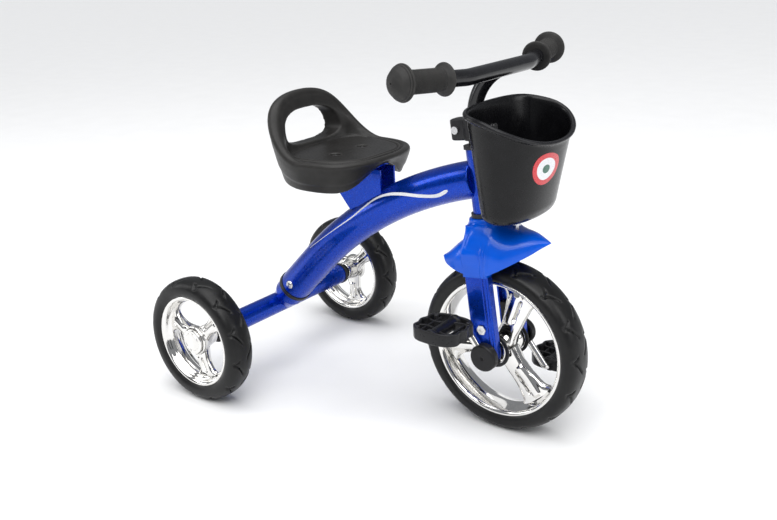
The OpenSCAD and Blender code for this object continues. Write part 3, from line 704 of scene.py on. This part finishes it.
def pinstripe():
    """A plain line along each side of the main tube, thin behind and wider in front."""
    lift = 0.12
    route = [(150, 40), (180, 31), (221, 24), (263, 22), (296, 31), (322, 38), (348, 32), (376, 15),
             (408, -9), (436, -22), (458, -13)]  # length along the tube, degrees above its side
    first, last = route[0][0], route[-1][0]
    for side, sign in SIDES.items():
        rows = []
        for t in spread(first, last, 120):
            share = (t - first) / (last - first)
            half = 0.5 + 2.3 * smooth_step(share, 0.05, 0.95)
            half *= 1 - smooth_step(share, 0.985, 1.0) * 0.6
            angle = math.radians(through(route, t))
            p, way = tube_place(t)
            up, out = Vector((-way.z, 0, way.x)), Vector((0, sign, 0))
            rows.append([p + (TUBE_R + lift) * (math.sin(a) * up + math.cos(a) * out)
                         for a in spread(angle - half / TUBE_R, angle + half / TUBE_R, 5)])
        shape = Shape()
        shape.grid(rows)
        build(f"pinstripe_{side}", shape, GROUND, "frame", "frame_paint", film=WHITE)


# ---- Seat ----

SEAT_MIDDLE = Vector((165, 0, 0))
PAN_Z = 386
SEAT_FOOT_Z = 369.2  # where the seat rests on its bracket


def seat_edge(u):
    """The seat's rolled edge: u is 0 at the front and half a turn at the back."""
    x = 151 + 99 * math.cos(u) + 7 * math.cos(2 * u) - 4.5 * math.cos(3 * u)
    return Vector((x, 110 * math.sin(u) + 2.5 * math.sin(2 * u) + 6 * math.sin(3 * u),
                   PAN_Z + 1 + 97.3 * max(0.0, (158.5 - x) / 100) ** 1.96))


def seat_foot_z(u):
    """The height of the skirt's lower edge."""
    return 338 + 34 * max(0.0, math.cos(u)) ** 8 + 22 * max(0.0, -math.cos(u)) ** 2


def seat_section(u):
    """The seat's section from its middle out over the rolled edge, down the skirt and back under."""
    edge = seat_edge(u)
    back = smooth_step(-math.cos(u), 0.0, 0.9)
    pan_end = 0.83 - 0.18 * back
    roll_start = 0.865 - 0.035 * back
    reach = Vector((edge.x - SEAT_MIDDLE.x, edge.y, 0))

    def at(share, z):
        return Vector((SEAT_MIDDLE.x + reach.x * share, reach.y * share, z))

    roll = min((1 - roll_start) / 2 * reach.length, 8.5)
    out = [at(v, PAN_Z + 1.2 * (v / pan_end) ** 2)
           for v in (0.02, 0.2, 0.4, 0.55, 0.7 * pan_end / 0.72, pan_end)]
    rise = edge.z - roll * 0.9 - (PAN_Z + 1.2)
    for v in spread(0.1, 1.0, 9):
        power = 1.0 + 0.8 * (1 - back)
        out.append(at(pan_end + (roll_start - pan_end) * v, PAN_Z + 1.2 + rise * smooth_step(v) ** power))
    centre = (roll_start + 1) / 2
    for a in spread(15, 180, 10):
        out.append(at(centre - (1 - roll_start) / 2 * math.cos(math.radians(a)),
                      edge.z - roll + roll * math.sin(math.radians(a))))
    top, foot = edge.z - roll, seat_foot_z(u)
    for v in (0.25, 0.5, 0.66, 0.70, 0.85, 0.96):
        step = 0.012 if v > 0.67 else 0.0
        out.append(at(1 - 0.15 * v ** 1.2 - step, top + (foot - top) * v))
    out += [at(0.832, foot), at(0.80, foot), at(0.79, foot + 3), at(0.77, PAN_Z - 14), at(0.72, PAN_Z - 9),
            at(0.42, PAN_Z - 9), at(0.39, PAN_Z - 11), at(0.38, SEAT_FOOT_Z), at(0.02, SEAT_FOOT_Z)]
    return out


def solid_object(name, shape, where):
    """A bare mesh object for cutting and remeshing."""
    mesh = bpy.data.meshes.new(name)
    mesh.from_pydata([where @ Vector(p) for p in shape.points], [], shape.faces)
    bm = bmesh.new()
    bm.from_mesh(mesh)
    bmesh.ops.recalc_face_normals(bm, faces=bm.faces)
    bm.to_mesh(mesh)
    bm.free()
    return place_object(name, mesh)


def settle(piece):
    """Applies a piece's modifiers to its mesh."""
    bpy.context.view_layer.update()
    mesh = bpy.data.meshes.new_from_object(piece.evaluated_get(bpy.context.evaluated_depsgraph_get()))
    piece.modifiers.clear()
    old, piece.data = piece.data, mesh
    bpy.data.meshes.remove(old)


def seat():
    """The seat's moulding, with its handle hole and two bolt wells cut out and its edges softened."""
    shape = Shape()
    shape.loft([list(row) for row in zip(*[seat_section(TURN * i / 128) for i in range(128)])])
    body = solid_object("seat_moulding", shape, GROUND)
    cutters = Shape()
    hole_z, hole_half_z = 420, 27
    hole = []
    for x, half in ((30, 32), (116, 71)):  # wider in front than behind
        hole.append([Vector((x, (half - 6 * math.sin(a)) * bulge(math.cos(a), 0.7),
                             hole_z + hole_half_z * bulge(math.sin(a), 0.7)))
                     for a in spread(0, TURN * 47 / 48, 48)])
    cutters.loft(hole)
    for y in (-32, 32):
        cutters.loft([[Vector((170 + 9 * math.cos(TURN * j / 32), y + 7.5 * math.sin(TURN * j / 32), z))
                       for j in range(32)] for z in (PAN_Z - 5.5, 430)])
    tool = solid_object("seat_cutters", cutters, GROUND)
    cut = body.modifiers.new("cut", "BOOLEAN")
    cut.operation, cut.object, cut.solver = "DIFFERENCE", tool, "EXACT"
    remesh = body.modifiers.new("remesh", "REMESH")
    remesh.mode, remesh.voxel_size = "VOXEL", 1.5 * MM
    settle(body)
    bpy.data.objects.remove(tool)
    relax = body.modifiers.new("relax", "SMOOTH")
    relax.factor, relax.iterations = 0.5, 8
    settle(body)
    carve_seat_line(body)
    for face in body.data.polygons:
        face.use_smooth = True
    finish_piece(body, "frame", "seat_plastic", ["seat"])


def carve_seat_line(body):
    """Presses the line that runs round the pan just inside the rolled edge."""
    to_ground = GROUND.inverted()
    line_at, line_deep, line_wide = 0.78, 1.7, 1.5  # the first is a share of the way out
    samples = [(TURN * i / 720, seat_edge(TURN * i / 720)) for i in range(720)]
    rim = sorted((math.atan2(e.y, e.x - SEAT_MIDDLE.x), math.hypot(e.x - SEAT_MIDDLE.x, e.y), u)
                 for u, e in samples)
    for v in body.data.vertices:
        p = to_ground @ v.co
        if p.z < PAN_Z - 6 or v.normal.z < 0.3:
            continue
        turn = math.atan2(p.y, p.x - SEAT_MIDDLE.x)
        k = min(int((turn + math.pi) / TURN * len(rim)), len(rim) - 1)
        _, reach, u = rim[k]
        away = (math.hypot(p.x - SEAT_MIDDLE.x, p.y) / reach - line_at) * reach
        v.co.z -= line_deep * MM * bump(away, line_wide) * (1 - smooth_step(-math.cos(u), 0.2, 0.7))


# ---- Fender ----

# (x, value) along the fender: its lower edge's height, its ridge's height and its half width
FENDER_EDGE = [(366, 258), (373, 251.5), (384, 248), (411, 243.5), (432, 243), (447, 247), (464, 256),
               (487, 270), (500, 278), (512, 287), (521, 293)]
FENDER_RIDGE = [(366, 260), (374, 269), (386, 280), (398, 289), (405, 295), (409, 304), (414, 313),
                (430, 315), (445, 313), (466, 306), (492, 302.5), (507, 298.5), (521, 294)]
FENDER_HALF = [(366, 33), (372, 38), (382, 43), (398, 48), (430, 50), (447, 49), (464, 45.5), (475, 41),
               (487, 33.5), (500, 22.5), (512, 10.5), (521, 1.2)]


def fender_row(x, inset):
    """One arch across the fender at x, as far inside its outer skin as inset says."""
    edge, ridge, half = (through(line, x) for line in (FENDER_EDGE, FENDER_RIDGE, FENDER_HALF))
    boxy = smooth_step(x, 372, 400) * (1 - smooth_step(x, 445, 480))
    inset = min(inset, half * 0.6)
    row = []
    for a in spread(0, math.pi, 61):
        y = (half - inset) * bulge(math.cos(a), 0.78 - 0.22 * boxy)
        z = edge + (ridge - inset - edge) * abs(math.sin(a)) ** (0.85 - 0.05 * boxy)
        low = 1 - smooth_step(z, 278, 300)
        rib = 1.5 * (bump(x - 446, 2.0) + bump(x - 439, 1.6)) * low * smooth_step(abs(math.cos(a)), 0.5, 0.8)
        row.append(Vector((x, y + math.copysign(rib, y), z)))
    return row


def fender():
    """The fender's shell over the tyre, a cover on each fork leg and the collar under the headset."""
    stations = spread(366, 380, 10)[:-1] + spread(380, 500, 70) + spread(500, 521, 18)[1:]
    wall = 2.4
    shape = Shape()
    shape.loft([fender_row(x, 0) + fender_row(x, wall)[::-1] for x in stations])
    end_faces, shape.faces = shape.faces[-2:], shape.faces[:-2]
    for face in end_faces:  # close each curved end with small faces across the wall
        n = len(face)
        shape.faces += [(face[j], face[j + 1], face[n - 2 - j], face[n - 1 - j]) for j in range(n // 2 - 1)]
    build("fender_shell", shape, GROUND, "steering", "fender_plastic", ["fender"], sharp=50)
    for side, sign in SIDES.items():
        rows = []
        for s in spread(115, 184, 25):
            inward = smooth_step(s, 146, 184)
            apart = 1.075 - 0.44 * inward
            rows.append([Vector((p.x, sign * p.y * apart, s)) for p in leg_section(19.6 - 0.6 * inward)])
        cover = Shape()
        cover.loft(rows)
        build(f"fender_cover_{side}", cover, STEERING, "steering", "fender_plastic", sharp=45)
    collar = Shape()
    profile = [(14, 178), (31, 178), (27.5, 183), (25.5, 186.5), (25, 190.4), (23.4, 191.6), (14, 191.6)]
    collar.lathe(rounded(profile, 1.6, 3), 80)
    build("fender_collar", collar, STEERING, "steering", "fender_plastic")


# ---- Fork ----

LEG_HALF = 19  # half a leg's width fore and aft


def leg_section(half):
    """A pressed channel's section: x forward, y out of the middle plane, with two ridges in front."""
    outer = [(-half, 33), (-half, 46), (half - 11, 46), (half - 9.6, 44.8), (half - 8.2, 46),
             (half - 6, 47.4), (half - 4.2, 46), (half - 3.4, 45.2), (half - 2.2, 46.4),
             (half, 44.6), (half, 33)]
    inner = [(half - 2.5, 33), (half - 2.5, 43), (2.5 - half, 43), (2.5 - half, 33)]
    return rounded(outer, [0, 3.4, 1.2, 1.0, 1.0, 1.6, 1.0, 0.8, 1.4, 1.8, 0], 4) + rounded(inner, 2.2, 4)


def fork_leg(side):
    """A fork leg along the steering axis, from its round foot up to the crown."""
    rows = []
    for s in [-18.5, -17.6, -15.5, -12, -8, -4, 0] + spread(6, 140, 12):
        half = max(LEG_HALF * max(1 - (min(s, 0) / LEG_HALF) ** 2, 0.02) ** 0.5, 7)
        rows.append([Vector((p.x, SIDES[side] * p.y, s)) for p in leg_section(half)])
    shape = Shape()
    shape.loft(rows)
    build(f"fork_leg_{side}_painted", shape, STEERING, "steering", "frame_paint", [f"fork_leg_{side}"],
          sharp=45)


# ---- Handlebar ----

BAR_X, BAR_S = 49, 396  # the bar's middle, ahead of the steering axis and along it
STEM_BEND = 326  # where the stem leaves the axis
BAR_HALF, BAR_BEND = 70, 70  # the straight middle's half length, the bends' radius
SWEEP = math.radians(13.5)
TILT = math.radians(15)
bar_middle = STEERING @ Vector((BAR_X, 0, BAR_S))
bar_space = space(bar_middle, (math.cos(TILT), 0, -math.sin(TILT)), (0, 1, 0),
                  (math.sin(TILT), 0, math.cos(TILT)))


def bar_curve(angle, sign):
    """The bar's bend on one side, where it has turned by an angle."""
    return Vector((-BAR_BEND * (1 - math.cos(angle)), sign * (BAR_HALF + BAR_BEND * math.sin(angle)), 0))


def bar_way(sign):
    """The way that the bar's straight end runs on one side."""
    return Vector((-math.sin(SWEEP), sign * math.cos(SWEEP), 0))


def bar_end_space(sign):
    """At the start of one of the bar's straight ends, whose +Z runs outwards along it."""
    turn = bar_space.to_3x3().normalized()
    z_axis = turn @ bar_way(sign)
    x_axis = turn @ Vector((0, 0, 1))
    return space(bar_space @ bar_curve(SWEEP, sign), x_axis, z_axis.cross(x_axis), z_axis)


def handlebar():
    """The bar, swept back at its ends, and the stem that carries it."""
    path = []
    for sign in (-1, 1):
        half = [Vector((0, sign * y, 0)) for y in spread(2, BAR_HALF, 10)]
        half += [bar_curve(a, sign) for a in spread(0, SWEEP, 8)[1:]]
        half += [bar_curve(SWEEP, sign) + bar_way(sign) * t for t in spread(8, 107, 8)]
        path = half[::-1] + path if sign < 0 else path + half
    shape = Shape()
    shape.tube(path, 11, 48, side=(0, 0, 1))
    build("handlebar_black", shape, bar_space, "steering", "black_paint", ["handlebar"])
    turn = 2 * math.atan(BAR_X / (BAR_S - STEM_BEND))
    radius = BAR_X / (1 - math.cos(turn))
    line = [Vector((0, 0, s)) for s in (300, 312, STEM_BEND)]
    line += [Vector((radius * (1 - math.cos(a)), 0, STEM_BEND + radius * math.sin(a)))
             for a in spread(0, turn, 26)[1:]]
    neck = Shape()
    neck.tube(line, [9.5] * 7 + [10.7] * 21, 48)  # thinner where it enters the steerer
    build("stem_black", neck, STEERING, "steering", "black_paint", ["stem"])


def stem_clamp():
    """A soft-edged block behind the steerer and a tongue in front, on one ring."""
    low, high = 302, 333
    shape = Shape()
    for back, front, half, rise in ((-36, -8, 12, 0), (10, 22.3, 14, 3)):
        tall = high - low - 2 * rise
        rows = []
        for lift, inset in ((0, 3), (0.8, 1), (2.5, 0), (tall - 2.5, 0), (tall - 0.8, 1), (tall, 3)):
            corners = [(back + inset, inset - half), (front, inset - half), (front, half - inset),
                       (back + inset, half - inset)]
            rows.append([Vector((p.x, p.y, low + rise + lift)) for p in rounded(corners, 5, 6, closed=True)])
        shape.loft(rows)
    ring = [(13.4, low), (18, low), (18, high), (13.4, high)]
    shape.lathe(rounded(ring, 1.5, 3, closed=True), 72, closed=True)
    build("stem_clamp_moulded", shape, STEERING, "steering", "black_plastic", ["stem_clamp"])


def grip(side):
    """A rubber grip: a knurled sleeve between a small inner flange and a domed outer end."""
    steps, sleeve_r = 240, 14.7
    shape = Shape()
    rows = []
    for i in range(steps):
        turn = TURN * i / steps
        row = []
        for z in spread(39, 97, 150):
            knurl = math.sin(20 * turn + z * 1.7) * math.sin(20 * turn - z * 1.7)
            body = smooth_step(z, 41, 43.5) * (1 - smooth_step(z, 92, 95))
            r = sleeve_r + body * (0.9 * smooth_step(abs(knurl), 0.05, 0.6) - 0.3) + 0.5 * (1 - body)
            row.append(Vector((r * math.cos(turn), r * math.sin(turn), z)))
        rows.append(row)
    shape.grid(rows, ring_rows=True)
    inner = [(11.05, 31), (18, 30.6), (21, 31.4), (21.8, 33), (21, 34.6), (17.6, 38), (15.6, 40.4),
             (sleeve_r, 40.4)]
    shape.lathe(rounded(inner, 1.4, 3), 96)
    outer = [(sleeve_r, 95.5), (16.6, 96.6), (21.6, 98.6), (23.6, 100.2), (24, 101.8), (23.4, 103),
             (22, 103.3), (22.6, 104.2), (22.4, 105.6), (20.6, 106.4), (20.4, 107.4), (19.4, 109.2),
             (15.8, 113.6), (9, 118), (2.6, 119.8), (1.5, 119.8), (1.2, 118), (0, 118)]
    shape.lathe(rounded(outer, 0.9, 3), 112)
    build(f"grip_{side}_rubber", shape, bar_end_space(SIDES[side]), "steering", "grip_rubber",
          [f"grip_{side}"], sharp=60)


# ---- Basket ----

BASKET_Z = 328
BASKET_HALF = 92
BASKET_BACK = 482  # the rim's nominal height
BASKET_GAP = 22.5  # from the steering axis to the basket's back


def basket_rim_z(turn):
    """The rim's height, highest behind."""
    return BASKET_BACK - 21 - 21 * math.cos(turn) + 11 * math.sin(turn) ** 2


def basket_point(up, turn, grow):
    """The basket's wall: up is 0 at its floor and 1 at its rim, turn is 0 in front."""
    rake = math.atan2(-steer_up.x, steer_up.z)
    foot = (steer_foot.x - rear_axle.x) / MM
    lean = math.tan(rake)
    back = foot + BASKET_GAP / math.cos(rake) - (BASKET_Z - steer_foot.z / MM) * lean \
        - up * (BASKET_BACK - BASKET_Z) * lean
    half_x, half_y = 34 + 22 * up, BASKET_HALF - 20 + 20 * up
    level = 150 * up if up < 0.1 else (basket_rim_z(turn) - BASKET_Z) * up
    flat = 0.95 - 0.33 * smooth_step(-math.cos(turn), -0.1, 0.5)
    return Vector((back + half_x + (half_x + grow) * bulge(math.cos(turn), flat),
                   (half_y + grow) * bulge(math.sin(turn), 0.92), BASKET_Z + level))


def basket():
    """A moulded tub with a rolled rim, a line under it and fine ribs behind."""
    steps = 200
    wall_rows = range(6, 27)
    outside = [(0, -16), (0, -9), (0.008, -6), (0.025, -3), (0.05, -0.9), (0.075, 0)]
    outside += [(v, 0) for v in spread(0.11, 0.93, 22)]
    outside += [(0.942, 0.6), (0.948, 2.6), (0.956, 4.2), (0.968, 5.0), (0.982, 4.9), (0.994, 3.6),
                (1.0, 1.6)]
    inside = [(0.998, -0.6), (0.985, -2.0), (0.97, -2.5)] + [(v, -2.5) for v in spread(0.94, 0.11, 14)]
    inside += [(0.07, -3.2), (0.045, -5.5), (0.025, -10), (0.02, -16)]
    rows = []
    for k, (up, grow) in enumerate(outside + inside):
        row = []
        for i in range(steps):
            turn = TURN * i / steps
            rib = 0.0
            if k in wall_rows:
                behind = smooth_step(-math.cos(turn), 0.35, 0.6)
                rib = 0.9 * behind * max(0.0, math.cos(turn * 24)) * smooth_step(up, 0.08, 0.14)
                rib += 0.55 * bump((up - 0.90) * 140, 1.6)
            row.append(basket_point(up, turn, grow + rib))
        rows.append(row)
    shape = Shape()
    shape.loft(rows)
    build("basket_tub", shape, GROUND, "steering", "basket_plastic", ["basket"], sharp=50)


def basket_badge():
    """A plain round badge on the basket's front: a red ring, a white face and a green dot."""
    badge_up, badge_turn = 0.66, math.radians(-12)
    tall, out = 122, 73  # millimetres to a whole up and to a radian there
    for name, r0, r1, rings, film, lift in (("badge_ring", 16.5, 24, 8, RED, 0.30),
                                                ("badge_face", 0.0, 16.6, 10, WHITE, 0.30),
                                                ("badge_dot", 0.0, 6.5, 10, GREEN, 0.45)):
        rows = []
        for r in spread(r0, r1, rings):
            row = []
            for i in range(72):
                a = TURN * i / 72
                row.append(basket_point(badge_up + r * math.sin(a) / tall,
                                        badge_turn + r * math.cos(a) / out, lift))
            rows.append(row)
        shape = Shape()
        shape.grid(rows, ring_columns=True)
        build(f"basket_{name}", shape, GROUND, "steering", "basket_plastic", sharp=80, film=film)


# ---- CAD nodes that are shown as they are ----

EDGE_R = 1
SOFT_EDGED = ("joint_collar", "headset_upper", "headset_lower", "seat_bracket")


def dress_cad_nodes():
    """Gives every CAD node its slot's material, and softens the edges of those that stay in view."""
    for entry in frame["record"]["subparts"]:
        piece = frame["nodes"][entry["node"]]
        piece.data.materials.clear()
        piece.data.materials.append(SLOT_MATERIALS[entry["material_slot"]])
        if entry["node"] in SOFT_EDGED:
            bevel = piece.modifiers.new("edges", "BEVEL")
            bevel.width, bevel.segments, bevel.limit_method = EDGE_R * MM, 4, "ANGLE"
            bevel.angle_limit = math.radians(40)
            bevel.harden_normals = True


# ---- Studio ----

def rectangle(name, width, height, material):
    """A flat sheet in the XY plane."""
    w, h = width / 2, height / 2
    mesh = bpy.data.meshes.new(name)
    mesh.from_pydata([(-w, -h, 0), (w, -h, 0), (w, h, 0), (-w, h, 0)], [], [(0, 1, 2, 3)])
    mesh.materials.append(material)
    return place_object(name, mesh)


def aim(thing, place, target, front):
    """Puts a light or a card at a place, with its front axis turned to the target."""
    thing.location = place
    thing.rotation_euler = (Vector(target) - Vector(place)).to_track_quat(front, "Y").to_euler()


def studio():
    """A pale floor, a pale world, four soft panels, a wide sun, and dark cards for the chrome to mirror."""
    m, tree, shader = new_material("floor_pale", (0.86, 0.86, 0.86), 0.6)
    vary(tree, shader, "Base Color", noise(tree, place_texture(tree), 0.01, 3.0), (0.3, 0.85), (0.7, 0.87))
    ground = rectangle("floor", 60, 60, m)

    world = bpy.data.worlds.new("studio")
    bpy.context.scene.world = world
    world.use_nodes = True
    tree = world.node_tree
    background = tree.nodes["Background"]
    background.inputs["Color"].default_value = (0.92, 0.95, 1.0, 1)
    seen = add(tree, "ShaderNodeLightPath").outputs["Is Camera Ray"]
    strength = add(tree, "ShaderNodeMapRange", [("Value", seen)])
    strength.inputs["To Min"].default_value = 0.28  # what lights the object
    strength.inputs["To Max"].default_value = 1.0  # what the camera sees
    tree.links.new(strength.outputs["Result"], background.inputs["Strength"])

    for name, place, target, width, height, power in (
            ("key", (0.9, -1.9, 2.3), (0, 0, 0.25), 2.2, 1.6, 30),
            ("side", (2.3, 0.5, 1.4), (0, 0, 0.3), 0.8, 1.8, 16),
            ("top", (-0.6, 0.3, 2.7), (0, 0, 0.2), 2.4, 2.4, 14),
            ("left", (-2.2, -1.2, 1.3), (0, 0, 0.25), 0.7, 1.8, 14)):
        light = bpy.data.lights.new(name, "AREA")
        light.shape, light.size, light.size_y, light.energy = "RECTANGLE", width, height, power
        aim(place_object(name, light), place, target, "-Z")
    sun = bpy.data.lights.new("sky", "SUN")
    sun.energy, sun.angle = 2.5, math.radians(70)
    place_object("sky", sun).rotation_euler = (math.radians(12), math.radians(10), 0)

    black, _, _ = new_material("black_card", (0.01, 0.01, 0.01), 1.0)
    for k, (place, width, height) in enumerate((((-2.2, -2.4, 0.9), 1.0, 1.8), ((2.8, -1.2, 0.7), 0.5, 1.5),
                                                ((0.3, -3.4, 0.35), 1.6, 0.5))):
        card = rectangle(f"card_{k}", width, height, black)
        aim(card, place, (0, 0, 0.25), "Z")
        card.visible_camera = card.visible_diffuse = card.visible_shadow = False


def camera():
    """The photograph's viewpoint, turned round the object's front half."""
    azimuth, elevation, roll = math.radians(37.362), math.radians(15.963), math.radians(-2.215)
    target, distance = GROUND @ Vector((268.03, 0, 318.9)), 1.4
    back = Vector((math.sin(azimuth) * math.cos(elevation), -math.cos(azimuth) * math.cos(elevation),
                   math.sin(elevation)))
    right = Vector((math.cos(azimuth), math.sin(azimuth), 0))
    up = back.cross(right)
    right, up = right * math.cos(roll) + up * math.sin(roll), up * math.cos(roll) - right * math.sin(roll)
    lens = bpy.data.cameras.new("camera")
    lens.lens, lens.sensor_width = 42.96, 36
    lens.shift_x, lens.shift_y = -0.0163, -0.0772
    o = place_object("camera", lens)
    axes = Matrix((right, up, back)).transposed().to_4x4()
    o.matrix_world = Matrix.Translation(target + back * distance) @ axes
    bpy.context.scene.camera = o


dress_cad_nodes()
wheels()
crank()
for which in SIDES:
    pedal(which)
    fork_leg(which)
    grip(which)
main_tube()
pinstripe()
seat()
fender()
handlebar()
stem_clamp()
basket()
basket_badge()
studio()
camera()
bpy.context.scene.view_settings.view_transform = "Standard"
